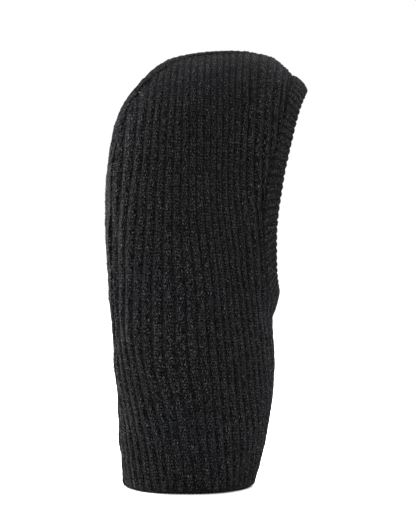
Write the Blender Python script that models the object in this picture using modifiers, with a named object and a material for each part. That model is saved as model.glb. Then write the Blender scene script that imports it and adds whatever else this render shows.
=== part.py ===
"""Rib-knit balaclava with a long neck, built as the separate pieces that are linked together.

Metres, +Z up. The face looks along -Y and the wearer's left is +X. The origin is the centre of
the bounding box at the height of the neck hem, which is flat and lies on z = 0.

Every knit piece lies on one hood surface: level sections up to the temples, then a dome. A point on
it is addressed by a guide point on a unit capsule, which is a round tube with a round top.
"""

import math

import bpy
import numpy as np

# Overall sizes
CROWN_Z = 0.425
TEMPLE_Z = 0.320
TUBE_UNIT = 0.090
DOME_POWER = 2.5
TEMPLE_BACK = 0.0942
TEMPLE_FRONT = -0.0962
DOME_HALF_WIDTH = 0.0800
TEMPLE_LEAN = -0.10
CROWN_FORWARD = 0.0100
FRAME_SHIFT = 0.00198

# Level sections below the temples: height, back, front, half width
SECTIONS = (
    (0.000, 0.0800, -0.0475, 0.0580),
    (0.046, 0.0835, -0.0595, 0.0595),
    (0.085, 0.0860, -0.0666, 0.0612),
    (0.124, 0.0895, -0.0673, 0.0635),
    (0.163, 0.0922, -0.0668, 0.0670),
    (0.200, 0.0945, -0.0720, 0.0715),
    (0.231, 0.0964, -0.0800, 0.0755),
    (0.262, 0.0972, -0.0865, 0.0782),
    (0.290, 0.0966, -0.0920, 0.0797),
    (TEMPLE_Z, TEMPLE_BACK, TEMPLE_FRONT, DOME_HALF_WIDTH),
)

# Knit
KNIT = 0.0040
GAP = 0.0003
SEAM_GAP = 0.0007
SEAM_DRIFT = 0.235
DRIFT_FULL_Z = 0.240
DRIFT_FADE = 0.75
CORNER_LIFT = 0.59

# Face opening, measured to the line where the band is linked on
FACE_LOW = 0.1694
FACE_HIGH = 0.4017
FACE_HALF_WIDTH = 0.853
FACE_POWER = 2.35
FACE_GAP = 0.0004

# Face band
BAND_THICKNESS = 0.0045
BAND_FREE_LOW = 0.1900
BAND_FREE_HIGH = 0.3845
BAND_FREE_HALF_WIDTH = 0.700
BAND_PROUD = 0.0010
BROW_FLARE = 0.0065
CHIN_FLARE = 0.0022
BROW_SPREAD = 6
CHIN_SPREAD = 4

# Seam ridges on the inside
SEAM_RADIUS = 0.0022
BAND_SEAM_RADIUS = 0.0018
JOIN_RADIUS = 0.0010
RIDGE_GAP = 0.0010
SEAM_END_CLEARANCE = 0.0050
SEAM_TURNS = (0.012, 1.952)
JOIN_SHARES = (0.36, 0.94)
JOIN_STEPS = 8

# Care label, caught in the back seam
LABEL_LOW = 0.0380
LABEL_HEIGHT = 0.0300
LABEL_REACH = 0.0450
LABEL_THICKNESS = 0.0006
LABEL_CLEARANCE = 0.0012
LABEL_SIDE = math.radians(35)
LABEL_STEPS = 13
LABEL_SETTLE = 6.0
TACK_RADIUS = 0.0005
TACK_INSET = 0.0010
TACK_STEPS = 6

COLUMNS = 20
ROWS = 40
NECK_ROWS = 14
BAND_STEPS = 80
BAND_ACROSS = 4
SEAM_STEPS = 64
NECK_SEAM_STEPS = 16
RIDGE_SIDES = 2
RELAX_PASSES = 400
EDGE_LINE = 0.12
CUTTER = 0.400

CHARCOAL = (0.040, 0.042, 0.045, 1.0)
SEAM_GREY = (0.030, 0.031, 0.034, 1.0)
LABEL_GREY = (0.62, 0.62, 0.60, 1.0)
THREAD_GREY = (0.16, 0.16, 0.17, 1.0)
WOOLLY = 0.95
SATIN = 0.55
THREAD = 0.80


def smooth_through(xs, ys, x):
    """A curve through the points (xs, ys), with the slope at each point taken from its neighbours."""
    slopes = np.gradient(ys, xs)
    i = np.clip(np.searchsorted(xs, x) - 1, 0, len(xs) - 2)
    step = xs[i + 1] - xs[i]
    t = (x - xs[i]) / step
    return (
        (2 * t**3 - 3 * t**2 + 1) * ys[i]
        + (t**3 - 2 * t**2 + t) * step * slopes[i]
        + (3 * t**2 - 2 * t**3) * ys[i + 1]
        + (t**3 - t**2) * step * slopes[i + 1]
    )


def section(z):
    """Centre depth, half depth and half width of the hood surface at each height."""
    table = np.array(SECTIONS)
    low = np.clip(z, 0, TEMPLE_Z)
    back, front, width = (smooth_through(table[:, 0], table[:, c], low) for c in (1, 2, 3))
    up = np.clip((z - TEMPLE_Z) / (CROWN_Z - TEMPLE_Z), 0, 1)
    shrink = (1 - up**DOME_POWER) ** (1 / DOME_POWER)
    rise = up * (CROWN_Z - TEMPLE_Z)
    centre = (back + front) / 2 + TEMPLE_LEAN * rise - CROWN_FORWARD * up**2 + FRAME_SHIFT
    return centre, (back - front) / 2 * shrink, width * shrink


def guide_height(z):
    """The guide point's height for a height on the hood."""
    unit = np.where(z > TEMPLE_Z, CROWN_Z - TEMPLE_Z, TUBE_UNIT)
    return (z - TEMPLE_Z) / unit


def onto_capsule(guides):
    """Moves guide points back onto the capsule: a round tube below 0, a round top above."""
    up = np.clip(guides[..., 2:], 0, None)
    flat = np.concatenate([guides[..., :2], up], axis=-1)
    length = np.linalg.norm(flat, axis=-1, keepdims=True)
    out = flat / length
    return np.where(guides[..., 2:] > 0, out, np.concatenate([out[..., :2], guides[..., 2:]], axis=-1))


def hood_points(guides):
    """The points of the hood surface for guide points on the capsule."""
    height = guides[..., 2]
    z = TEMPLE_Z + height * np.where(height > 0, CROWN_Z - TEMPLE_Z, TUBE_UNIT)
    centre, half_depth, half_width = section(z)
    ring = np.maximum(np.hypot(guides[..., 0], guides[..., 1]), 1e-9)
    x = half_width * guides[..., 0] / ring
    y = centre + half_depth * guides[..., 1] / ring
    return np.stack([x, y, z], axis=-1)


def hood_normals(guides, step=1e-4):
    """Outward unit normals of the hood surface at guide points, from small steps on the capsule."""
    radial = np.concatenate([guides[..., :2], np.clip(guides[..., 2:], 0, None)], axis=-1)
    along = np.stack([-radial[..., 1], radial[..., 0], np.zeros(radial.shape[:-1])], axis=-1)
    along /= np.maximum(np.linalg.norm(along, axis=-1, keepdims=True), 1e-9)
    upward = np.cross(radial, along)
    sides = []
    for way in (along, upward):
        ahead = hood_points(onto_capsule(guides + step * way))
        behind = hood_points(onto_capsule(guides - step * way))
        sides.append(ahead - behind)
    normal = np.cross(sides[0], sides[1])
    return normal / np.linalg.norm(normal, axis=-1, keepdims=True)


def seam_drift(z):
    """How far the back and crown seam lies towards the wearer's right, as a guide distance."""
    rise = np.clip(z / DRIFT_FULL_Z, 0, 1)
    return SEAM_DRIFT * rise * rise * (3 - 2 * rise)


def seam_guides(turn, side):
    """The back and crown seam from the hem (turn 0), through the crown's back corner (turn 1), to the
    forehead (turn 2). side is -1 or 1 for a panel's edge, half a gap off the line, or 0 for the line.
    """
    corner = math.asin(CORNER_LIFT)
    brow = math.pi - math.asin(guide_height(FACE_HIGH))
    tube = -guide_height(0.0)
    climb = np.clip(turn, 0, 1) * (tube + corner)
    angle = np.clip(climb - tube, 0, None) + np.clip(turn - 1, 0, 1) * (brow - corner)
    height = np.where(climb < tube, climb - tube, np.sin(angle))
    z = TEMPLE_Z + height * np.where(height > 0, CROWN_Z - TEMPLE_Z, TUBE_UNIT)
    fade = np.clip((brow - angle) / DRIFT_FADE, 0, 1)
    across = -seam_drift(z) * fade * fade * (3 - 2 * fade) + side * SEAM_GAP / (2 * DOME_HALF_WIDTH)
    depth = np.where(climb < tube, 1.0, np.cos(angle))
    scale = np.sqrt(np.clip(1 - across**2, 0, 1))
    guides = np.stack([across, depth * scale, np.where(height > 0, height * scale, height)], axis=-1)
    return onto_capsule(guides)


def oval_guides(turn, low, high, half_width, edge_in=0.0):
    """An oval round the face. turn runs from 0 at the wearer's left, a quarter turn to the top."""
    sine, cosine = np.sin(turn), np.cos(turn)
    power = 2 / FACE_POWER
    middle, half_height = (low + high) / 2, (high - low) / 2 - edge_in
    z = middle + half_height * np.sign(sine) * np.abs(sine) ** power
    height = guide_height(z)
    across = (half_width - edge_in / DOME_HALF_WIDTH) * np.sign(cosine) * np.abs(cosine) ** power
    depth = -np.sqrt(np.clip(1 - across**2 - np.clip(height, 0, None) ** 2, 0, 1))
    return onto_capsule(np.stack([across, depth, height], axis=-1))


def front_guides(share, side):
    """A panel's front edge: the neck seam from the hem to the chin, then the face opening's edge."""
    neck_share = NECK_ROWS / ROWS
    neck = guide_height(0.0) + np.clip(share / neck_share, 0, 1) * (
        guide_height(FACE_LOW) - guide_height(0.0)
    )
    half_gap = side * SEAM_GAP / (2 * DOME_HALF_WIDTH)
    neck_line = np.stack([np.full(share.shape, half_gap), np.full(share.shape, -1.0), neck], axis=-1)
    turn = -math.pi / 2 + np.clip((share - neck_share) / (1 - neck_share), 0, 1) * math.pi
    face_line = oval_guides(turn, FACE_LOW, FACE_HIGH, FACE_HALF_WIDTH)
    face_line[..., 0] = side * np.maximum(np.abs(face_line[..., 0]), abs(half_gap))
    return onto_capsule(np.where((share < neck_share)[..., None], neck_line, face_line))


def panel_guides(side):
    """A grid of guide points over one side panel, rows from hem to crown, columns from back to front."""
    rows, columns = np.linspace(0, 1, ROWS + 1), np.linspace(0, 1, COLUMNS + 1)
    back = seam_guides(rows, side)
    crown = seam_guides(1 + columns, side)
    front = front_guides(rows, side)
    around = columns * math.pi
    hem = np.stack(
        [side * np.sin(around), np.cos(around), np.full(around.shape, guide_height(0.0))], axis=-1
    )
    u, v = columns[None, :, None], rows[:, None, None]
    grid = (1 - v) * hem[None] + v * crown[None] + (1 - u) * back[:, None] + u * front[:, None]
    grid -= (1 - u) * (1 - v) * hem[0] + u * (1 - v) * hem[-1] + (1 - u) * v * crown[0] + u * v * crown[-1]
    grid[0], grid[-1], grid[:, 0], grid[:, -1] = hem, crown, back, front
    grid[0, 0], grid[0, -1] = back[0], front[0]
    return with_edge_lines(relaxed(onto_capsule(grid)))


def relaxed(grid):
    """Evens out the spacing inside a grid of guide points, with its edges held."""
    for _ in range(RELAX_PASSES):
        inner = (grid[2:, 1:-1] + grid[:-2, 1:-1] + grid[1:-1, 2:] + grid[1:-1, :-2]) / 4
        grid[1:-1, 1:-1] = inner
        grid = onto_capsule(grid)
    return grid


def with_edge_lines(grid):
    """Adds a line of points just inside each edge, so that a shell's rim stands square to its face."""
    for _ in range(2):
        first = grid[:1] + (grid[1:2] - grid[:1]) * EDGE_LINE
        last = grid[-1:] + (grid[-2:-1] - grid[-1:]) * EDGE_LINE
        grid = np.concatenate([grid[:1], first, grid[1:-1], last, grid[-1:]])
        grid = onto_capsule(grid).swapaxes(0, 1)
    return grid


def grid_mesh(name, points, flip=False, ring=False):
    """An open surface of quads over a grid of points. A ring's rows close on themselves."""
    rows, columns = points.shape[:2]
    mesh = bpy.data.meshes.new(name)
    last = rows if ring else rows - 1
    faces = []
    for j in range(last):
        for i in range(columns - 1):
            here, above = j * columns + i, (j + 1) % rows * columns + i
            face = (here, here + 1, above + 1, above)
            faces.append(face[::-1] if flip else face)
    mesh.from_pydata(points.reshape(-1, 3).tolist(), [], faces)
    mesh.update()
    return mesh


def material(name, colour, roughness):
    made = bpy.data.materials.new(name)
    made.use_nodes = True
    shader = made.node_tree.nodes["Principled BSDF"]
    shader.inputs["Base Color"].default_value = colour
    shader.inputs["Roughness"].default_value = roughness
    shader.inputs["Metallic"].default_value = 0.0
    made.diffuse_color = colour
    return made


def add_object(name, data, collection, finish):
    made = bpy.data.objects.new(name, data)
    data.materials.append(finish)
    collection.objects.link(made)
    return made


def thicken(made, thickness):
    """Turns an open surface into a closed shell, growing inwards from its outer face."""
    shell = made.modifiers.new("thickness", "SOLIDIFY")
    shell.thickness = thickness
    shell.offset = -1
    shell.use_even_offset = True
    made.data.shade_smooth()


def cut_below_hem(made, cutters):
    """Trims a panel to the hem's level, so that its edge is flat on z = 0."""
    if "below_hem" not in bpy.data.objects:
        bpy.ops.mesh.primitive_cube_add(size=CUTTER, location=(0, 0, -CUTTER / 2))
        cutter = bpy.context.object
        cutter.name = "below_hem"
        cutter.hide_render = True
        cutter.display_type = "WIRE"
        for home in cutter.users_collection:
            home.objects.unlink(cutter)
        cutters.objects.link(cutter)
    trim = made.modifiers.new("hem", "BOOLEAN")
    trim.object = bpy.data.objects["below_hem"]
    trim.operation = "DIFFERENCE"
    trim.solver = "EXACT"


def add_panel(name, side, parts, cutters, finish):
    """A side panel from the back seam to the front, reaching a little below the hem until it is cut."""
    points = hood_points(panel_guides(side))
    lip = points[:1] - (0, 0, KNIT)
    panel = add_object(name, grid_mesh(name, np.concatenate([lip, points]), flip=side > 0), parts, finish)
    thicken(panel, KNIT)
    cut_below_hem(panel, cutters)
    return panel


def band_flare(turn):
    """How far the band's free edge stands out at the brow and the chin."""
    brow = np.clip(np.sin(turn), 0, 1) ** BROW_SPREAD * BROW_FLARE
    chin = np.clip(-np.sin(turn), 0, 1) ** CHIN_SPREAD * CHIN_FLARE
    return brow + chin


def band_surface(turn, share):
    """A point of the face band's outer face: share 0 at the linking line, 1 at the free edge."""
    outer = oval_guides(turn, FACE_LOW, FACE_HIGH, FACE_HALF_WIDTH, FACE_GAP)
    inner = oval_guides(turn, BAND_FREE_LOW, BAND_FREE_HIGH, BAND_FREE_HALF_WIDTH)
    guides = onto_capsule(outer + (inner - outer) * share)
    lift = BAND_PROUD + band_flare(turn)[..., None] * share
    return hood_points(guides) + hood_normals(guides) * lift, hood_normals(guides)


def add_face_band(parts, finish):
    """The ribbed strip round the face, one closed ring."""
    turn = np.linspace(0, 2 * math.pi, BAND_STEPS, endpoint=False)
    share = np.linspace(0, 1, BAND_ACROSS + 1)
    points = np.stack([band_surface(turn, s)[0] for s in share], axis=1)
    band = add_object("face_band", grid_mesh("face_band", points, flip=True, ring=True), parts, finish)
    thicken(band, BAND_THICKNESS)
    return band


def add_ridge(name, points, radius, parts, finish, closed=False):
    """A rounded ridge of linked stitches along a line of points."""
    curve = bpy.data.curves.new(name, "CURVE")
    curve.dimensions = "3D"
    curve.bevel_depth = radius
    curve.bevel_resolution = RIDGE_SIDES
    curve.use_fill_caps = not closed
    spline = curve.splines.new("POLY")
    spline.points.add(len(points) - 1)
    spline.points.foreach_set("co", np.insert(points, 3, 1.0, axis=1).ravel())
    spline.use_cyclic_u = closed
    spline.use_smooth = True
    return add_object(name, curve, parts, finish)


def inside_line(guides, depth):
    """Points at a depth under the hood surface."""
    return hood_points(guides) - hood_normals(guides) * depth


def add_crown_back_seam(parts, finish):
    """The long seam that joins the two panels, from the hem up the back and over to the forehead."""
    turn = np.linspace(*SEAM_TURNS, SEAM_STEPS)
    line = inside_line(seam_guides(turn, 0), KNIT + RIDGE_GAP + SEAM_RADIUS)
    return add_ridge("crown_back_seam", line, SEAM_RADIUS, parts, finish)


def add_front_neck_seam(parts, finish):
    """The short seam that joins the panels down the front of the neck."""
    top = FACE_LOW - SEAM_END_CLEARANCE - BAND_SEAM_RADIUS
    z = np.linspace(SEAM_END_CLEARANCE / 2, top, NECK_SEAM_STEPS)
    guides = np.stack([np.zeros(z.shape), np.full(z.shape, -1.0), guide_height(z)], axis=-1)
    line = inside_line(guides, KNIT + RIDGE_GAP + SEAM_RADIUS)
    return add_ridge("front_neck_seam", line, SEAM_RADIUS, parts, finish)


def add_face_band_seam(parts, finish):
    """The ring of stitches that links the band to both panels, lying behind the join."""
    turn = np.linspace(0, 2 * math.pi, BAND_STEPS, endpoint=False)
    guides = oval_guides(turn, FACE_LOW, FACE_HIGH, FACE_HALF_WIDTH, FACE_GAP / 2)
    line = inside_line(guides, KNIT + RIDGE_GAP + BAND_SEAM_RADIUS)
    return add_ridge("face_band_seam", line, BAND_SEAM_RADIUS, parts, finish, closed=True)


def add_band_join(parts, finish):
    """The short seam behind the chin where the two ends of the band meet."""
    shares = np.linspace(*JOIN_SHARES, JOIN_STEPS)
    chin = np.array([-math.pi / 2])
    line = []
    for share in shares:
        point, normal = band_surface(chin, share)
        line.append((point - normal * (BAND_THICKNESS + GAP + JOIN_RADIUS))[0])
    return add_ridge("band_join", np.array(line), JOIN_RADIUS, parts, finish)


def label_edge():
    """The two ends of the line where the care label leaves the back seam, which is its hinge."""
    z = np.array([LABEL_LOW, LABEL_LOW + LABEL_HEIGHT])
    turn = z / (-guide_height(0.0) + math.asin(CORNER_LIFT)) / TUBE_UNIT
    ridge = inside_line(seam_guides(turn, 0), KNIT + RIDGE_GAP + SEAM_RADIUS)
    off = SEAM_RADIUS + GAP + LABEL_THICKNESS
    return ridge + np.array([off * math.cos(LABEL_SIDE), -off * math.sin(LABEL_SIDE), 0])


def label_row(foot):
    """A level line of the label, from the seam ridge out to its place along the left panel."""
    centre, half_depth, half_width = section(foot[2])
    first = math.atan2(foot[0] / half_width, (foot[1] - centre) / half_depth)
    reach = np.linspace(0, 1, LABEL_STEPS)
    angle = first + reach * LABEL_REACH / (half_width - KNIT)
    lift = KNIT + LABEL_CLEARANCE
    wall = np.column_stack(
        [
            (half_width - lift) * np.sin(angle),
            centre + (half_depth - lift) * np.cos(angle),
            np.full(LABEL_STEPS, foot[2]),
        ]
    )
    return wall + (foot - wall[0]) * np.exp(-LABEL_SETTLE * reach)[:, None]


def add_care_label(parts, finish):
    """A blank strip that leaves the back seam and lies along the inside of the left panel."""
    edge = label_edge()
    points = np.array([label_row(foot) for foot in edge])
    label = add_object("care_label", grid_mesh("care_label", points - edge[0]), parts, finish)
    label.location = edge[0]
    shell = label.modifiers.new("thickness", "SOLIDIFY")
    shell.thickness = LABEL_THICKNESS
    shell.offset = 0
    return label


def add_label_tack(parts, finish):
    """The sewing thread that holds the label's edge, on the side towards the panel."""
    low, high = label_edge()
    up = (high - low) / np.linalg.norm(high - low)
    behind = np.array([TACK_INSET, LABEL_THICKNESS + GAP + TACK_RADIUS, 0.0])
    line = np.linspace(low + up * TACK_INSET, high - up * TACK_INSET, TACK_STEPS) + behind
    return add_ridge("label_tack", line, TACK_RADIUS, parts, finish)


def main():
    for old in list(bpy.data.objects):
        bpy.data.objects.remove(old, do_unlink=True)
    parts = bpy.data.collections.new("balaclava")
    cutters = bpy.data.collections.new("cutters")
    bpy.context.scene.collection.children.link(parts)
    bpy.context.scene.collection.children.link(cutters)
    add_panel("right_panel", -1, parts, cutters, material("right_panel_knit", CHARCOAL, WOOLLY))
    add_panel("left_panel", 1, parts, cutters, material("left_panel_knit", CHARCOAL, WOOLLY))
    add_face_band(parts, material("face_band_knit", CHARCOAL, WOOLLY))
    add_crown_back_seam(parts, material("crown_back_seam_yarn", SEAM_GREY, WOOLLY))
    add_front_neck_seam(parts, material("front_neck_seam_yarn", SEAM_GREY, WOOLLY))
    add_face_band_seam(parts, material("face_band_seam_yarn", SEAM_GREY, WOOLLY))
    add_band_join(parts, material("band_join_yarn", SEAM_GREY, WOOLLY))
    add_care_label(parts, material("care_label_satin", LABEL_GREY, SATIN))
    add_label_tack(parts, material("label_tack_thread", THREAD_GREY, THREAD))


main()
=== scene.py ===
"""Looks of the rib-knit balaclava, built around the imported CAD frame.

Each CAD node is replaced by a knitted or sewn piece that lies in the same place: the shells of rib knit
carry their ribs as relief on the same hood surface as the CAD, and the seams are worked in yarn.
Lengths are in metres. Z is up and the wearer faces -Y.
"""

import math

import bpy
import numpy as np
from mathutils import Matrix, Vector


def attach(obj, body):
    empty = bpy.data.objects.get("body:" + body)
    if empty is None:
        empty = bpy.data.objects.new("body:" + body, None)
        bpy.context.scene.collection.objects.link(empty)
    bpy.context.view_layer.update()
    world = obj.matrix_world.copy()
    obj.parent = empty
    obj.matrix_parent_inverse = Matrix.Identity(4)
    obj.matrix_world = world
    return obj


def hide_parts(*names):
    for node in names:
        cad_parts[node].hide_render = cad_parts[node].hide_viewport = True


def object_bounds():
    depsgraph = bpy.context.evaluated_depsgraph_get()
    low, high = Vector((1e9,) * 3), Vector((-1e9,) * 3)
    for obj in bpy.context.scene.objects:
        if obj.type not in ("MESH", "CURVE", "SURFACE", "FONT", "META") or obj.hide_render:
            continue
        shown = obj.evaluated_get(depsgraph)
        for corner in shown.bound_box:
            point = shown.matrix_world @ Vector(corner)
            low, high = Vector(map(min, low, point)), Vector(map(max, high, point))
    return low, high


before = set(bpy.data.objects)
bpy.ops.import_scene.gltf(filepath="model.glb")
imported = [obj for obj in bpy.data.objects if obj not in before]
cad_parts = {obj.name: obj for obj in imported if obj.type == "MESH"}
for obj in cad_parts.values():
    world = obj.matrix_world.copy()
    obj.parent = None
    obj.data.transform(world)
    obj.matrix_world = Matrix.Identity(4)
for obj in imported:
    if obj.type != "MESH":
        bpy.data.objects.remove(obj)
cad_low, cad_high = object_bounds()

# ------------------------ the hood surface, as in the CAD source
CROWN_Z = cad_high.z
TEMPLE_Z = 0.320
TUBE_UNIT = 0.090
DOME_POWER = 2.5
TEMPLE_BACK = 0.0942
TEMPLE_FRONT = -0.0962
DOME_HALF_WIDTH = 0.0800
TEMPLE_LEAN = -0.10
CROWN_FORWARD = 0.0100
FRAME_SHIFT = 0.00198
# Height, back, front and half width of the hood's sections
SECTIONS = (
    (0.000, 0.0800, -0.0475, 0.0580),
    (0.046, 0.0835, -0.0595, 0.0595),
    (0.085, 0.0860, -0.0666, 0.0612),
    (0.124, 0.0895, -0.0673, 0.0635),
    (0.163, 0.0922, -0.0668, 0.0670),
    (0.200, 0.0945, -0.0720, 0.0715),
    (0.231, 0.0964, -0.0800, 0.0755),
    (0.262, 0.0972, -0.0865, 0.0782),
    (0.290, 0.0966, -0.0920, 0.0797),
    (TEMPLE_Z, TEMPLE_BACK, TEMPLE_FRONT, DOME_HALF_WIDTH),
)
KNIT = 0.0040
GAP = 0.0003
SEAM_GAP = 0.0007
SEAM_DRIFT = 0.235
DRIFT_FULL_Z = 0.240
DRIFT_FADE = 0.75
CORNER_LIFT = 0.59
FACE_LOW = 0.1694
FACE_HIGH = 0.4017
FACE_HALF_WIDTH = 0.853
FACE_POWER = 2.35
FACE_GAP = 0.0004
BAND_THICKNESS = 0.0045
BAND_FREE_LOW = 0.1900
BAND_FREE_HIGH = 0.3845
BAND_FREE_HALF_WIDTH = 0.700
BAND_PROUD = 0.0010
BROW_FLARE = 0.0065
CHIN_FLARE = 0.0022
BROW_SPREAD = 6
CHIN_SPREAD = 4
BROW_SWELL = 1.0
SEAM_RADIUS = 0.0022
BAND_SEAM_RADIUS = 0.0018
JOIN_RADIUS = 0.0010
RIDGE_GAP = 0.0010
SEAM_END_CLEARANCE = 0.0050
SEAM_TURNS = (0.012, 1.952)
JOIN_SHARES = (0.36, 0.94)
LABEL_LOW = 0.0380
LABEL_HEIGHT = 0.0300
LABEL_REACH = 0.0450
LABEL_THICKNESS = 0.0006
LABEL_CLEARANCE = 0.0012
LABEL_SIDE = math.radians(35)
LABEL_SETTLE = 6.0
TACK_RADIUS = 0.0005
TACK_INSET = 0.0010
COLUMNS = 20
ROWS = 40
NECK_SHARE = 14 / 40
RELAX_PASSES = 400

# ------------------------ the knit
FINE_COLUMNS = 200
FINE_ROWS = 396
FINE_PASSES = 60
# Ribs on either side of rib 0 that the tracks also follow
TRACK_BEHIND = 7.0
TRACK_AHEAD = 6.7
# Share of the height, rib at the back edge, shares of the width of ribs -7, 0 and 6.7, rib at the front
RIB_TRACKS = (
    (0.0, -14.5, 0.335, 0.625, 0.900, 9.0),
    (0.1, -13.8, 0.305, 0.585, 0.850, 10.4),
    (0.2, -12.6, 0.260, 0.560, 0.790, 12.0),
    (0.3, -11.6, 0.220, 0.557, 0.775, 12.4),
    (0.4, -10.5, 0.200, 0.570, 0.790, 12.0),
    (0.5, -10.4, 0.210, 0.580, 0.815, 10.0),
    (0.6, -10.5, 0.235, 0.573, 0.820, 9.2),
    (0.7, -10.6, 0.260, 0.555, 0.770, 10.6),
    (0.8, -10.5, 0.285, 0.540, 0.727, 12.3),
    (0.9, -10.2, 0.270, 0.500, 0.680, 13.0),
    (1.0, -8.6, 0.165, 0.445, 0.645, 13.0),
)
# How unevenly the ribs run, their height, and how much of it lies below the hood surface
RIB_SWAY = 0.07
RIB_HEIGHT = 0.0024
RIB_UNEVEN = 0.18
RIB_SINK = 0.0018
# The rounding of a rib's profile
RIB_SOFTNESS = 0.03
RIB_FULLNESS = 0.9
RIB_PEAK = 1.015
# Depth of the furrow between a rib's two wales, and its width as a share of a rib
FURROW = (0.10, 0.06)
# The ribs fade over this distance from the crown seam, to this share of their height
CROWN_FLAT = 0.020
CROWN_RIB = 0.12
# The same at the hem
HEM_TAPER = 0.022
HEM_RIB = 0.60
# Height of a stitch
COURSE = 0.0029
ROUGHNESS = 0.00022
BODY_SWELL = 0.0006
# The soft welt beside a seam
WELT_HEIGHT = 0.0009
WELT_AT = 0.0042
WELT_WIDTH = 0.0020
# The inner face: how far it is raised from the CAD's, and its relief
INNER_LIFT = 0.0006
INNER_RIB = 0.0011
INNER_ROUGHNESS = 0.00008
# How edges roll under: reach and depth
SEAM_ROLL = (0.0034, 0.0026)
FACE_ROLL = (0.0018, 0.0010)
HEM_ROLL = (0.0070, 0.0026)
INNER_ROLL = (0.0022, 0.0010)

# The face band: its ribs, their relief on the outer and the inner face, and the scallops of its free edge
BAND_RIBS = 76
BAND_RIB_HEIGHT = 0.0013
BAND_SINK = 0.0009
BAND_INNER_RIB = 0.0009
BAND_INNER_LIFT = 0.0004
BAND_SCALLOP = 0.0009
BAND_SCALLOP_BASE = 0.6
BAND_SCALLOP_FROM = 0.80
BAND_ROUGHNESS = 0.00009
BAND_SMOOTHING = 1.7
# Its cross-section between the two round edges, as shares of the width
BAND_ROOT = 0.03
BAND_EDGE = 0.90
# Points to a rib, across the outer face and round an edge
BAND_SAMPLES = 14
BAND_FINE = 30
BAND_ROUND = 9
BAND_CUT_LINES = 9
EVEN_SAMPLES = 4001

# Unevenness: waves across and along a panel, and a seed, to which a panel adds its side
TRACK_WAVES = (2, 5, 3)
HEIGHT_WAVES = (9, 14, 5)
BODY_WAVES = (5, 7, 21)
WAVE_COUNT = 9
WAVE_RANGE = (1.0, 6.0)
WAVE_PHASES = (0, 6.283)
ROUGH_SEED = 11
BAND_SEED = 4

# ------------------------ the yarn
# The hem's cast-on edge: radius of a strand, width of its twist, lowest point of the knit, depth
HEM_STRAND = 0.00080
HEM_TWIST = 0.00110
HEM_LIFT = 0.0020
HEM_DEPTH = 0.0030
# How deep the picked-up loops and the links lie, and where the links start and end
PICKUP_DEPTH = 0.0024
LINK_DEPTH = 0.0034
LINK_TURNS = (0.010, 1.998)
LINK_LOW = 0.0045
LINK_CLEARANCE = 0.001
# Stitches: width and height of the yarn's path, its radius, length of a stitch
SEAM_CHAIN = (0.0015, 0.0007, 0.00070, 0.0075)
BAND_CHAIN = (0.0012, 0.0006, 0.00058, 0.0064)
PICKUP = (0.0007, 0.0003, 0.00080, 0.0058)
LINKS = (0.0006, 0.0003, 0.0007, 0.0044)
CAST_ON = (HEM_TWIST, 0.0007, HEM_STRAND, 0.0076)
JOIN_CHAIN = (0.0005, 0.00025, 0.0004, 0.0032)
TACK_STITCH = (0.0002, 0.0001, 0.00026, 0.0024)
STITCH_SAMPLES = 14
YARN_SIDES = 6
STEEP = 0.9
FEWEST_POINTS = 8
RING_POINTS = 720
HEM_POINTS = 900
SEAM_POINTS = 400
NECK_POINTS = 120
NECK_LINK_POINTS = 160
JOIN_POINTS = 40
TACK_POINTS = 60

# ------------------------ the label
LABEL_STEPS = 91
LABEL_ROWS = 41
# The label's wave: height, half waves along it, where it starts, bend across it
LABEL_WAVE = (0.0003, 2.2, 0.8, 1.5)
# The thicker selvedges and folded end, as shares of the width and length, and the thin rim
SELVEDGE = 0.06
SELVEDGE_EXTRA = 0.35
FOLD_FROM = 0.94
FOLD_FULLNESS = 1.35
LABEL_RIM = 0.0003

# ------------------------ places in the texture
OUTER_UV = ((0.005, 0.005), (0.635, 0.995))
INNER_UV = ((0.650, 0.005), (0.965, 0.995))
BAND_UV = ((0.005, 0.005), (0.995, 0.995))
LABEL_UV = (((0.01, 0.01), (0.98, 0.45)), ((0.01, 0.50), (0.98, 0.94)))
# Rims: places of their two sides, range along them, place of the faces that close the ring
RIM_SIDES = (0.975, 0.990)
RIM_RANGE = (0.005, 0.995)
RIM_CLOSE = 0.998
LABEL_RIM_SIDES = (0.97, 0.99)
LABEL_RIM_RANGE = (0.01, 0.98)
LABEL_RIM_CLOSE = 0.985

# ------------------------ tones and noises
# Stops of (position, colour): the wool's fibres, then what they are multiplied by
MARL = (
    (0.32, (0.0021, 0.0020, 0.0022)),
    (0.50, (0.0122, 0.0121, 0.0124)),
    (0.72, (0.0400, 0.0397, 0.0400)),
)
LEG_TONES = ((0.0, (0.10, 0.10, 0.10)), (0.45, (0.90, 0.90, 0.90)), (1.0, (2.4, 2.4, 2.4)))
SPECK_TONES = ((0.10, (2.4, 2.4, 2.4)), (0.58, (0.10, 0.10, 0.10)))
TUFT_TONES = ((0.36, (0.42, 0.42, 0.43)), (0.64, (1.48, 1.48, 1.47)))
# Painted shade in the gaps at a leg's edges and a painted lighter middle
STRAND_SHADE_TONES = ((0.10, (0.12, 0.12, 0.12)), (0.75, (1.35, 1.35, 1.35)))
PATCH_TONES = ((0.30, (0.90, 0.90, 0.91)), (0.70, (1.10, 1.10, 1.09)))
CAST_TONES = ((0.30, (0.93, 0.96, 1.06)), (0.70, (1.05, 1.03, 0.95)))
# Painted shade in the grooves between ribs, with the rib tops a little lighter
GROOVE_SHADE_TONES = ((0.22, (1.09, 1.09, 1.09)), (0.42, (0.40, 0.40, 0.41)))
SATIN_TONES = ((0.3, (0.50, 0.50, 0.48)), (0.7, (0.66, 0.66, 0.63)))
SOIL_TONES = ((0.3, (0.9, 0.9, 0.88)), (0.7, (1.0, 1.0, 1.0)))
YARN_STOPS = (0.32, 0.68)
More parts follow.
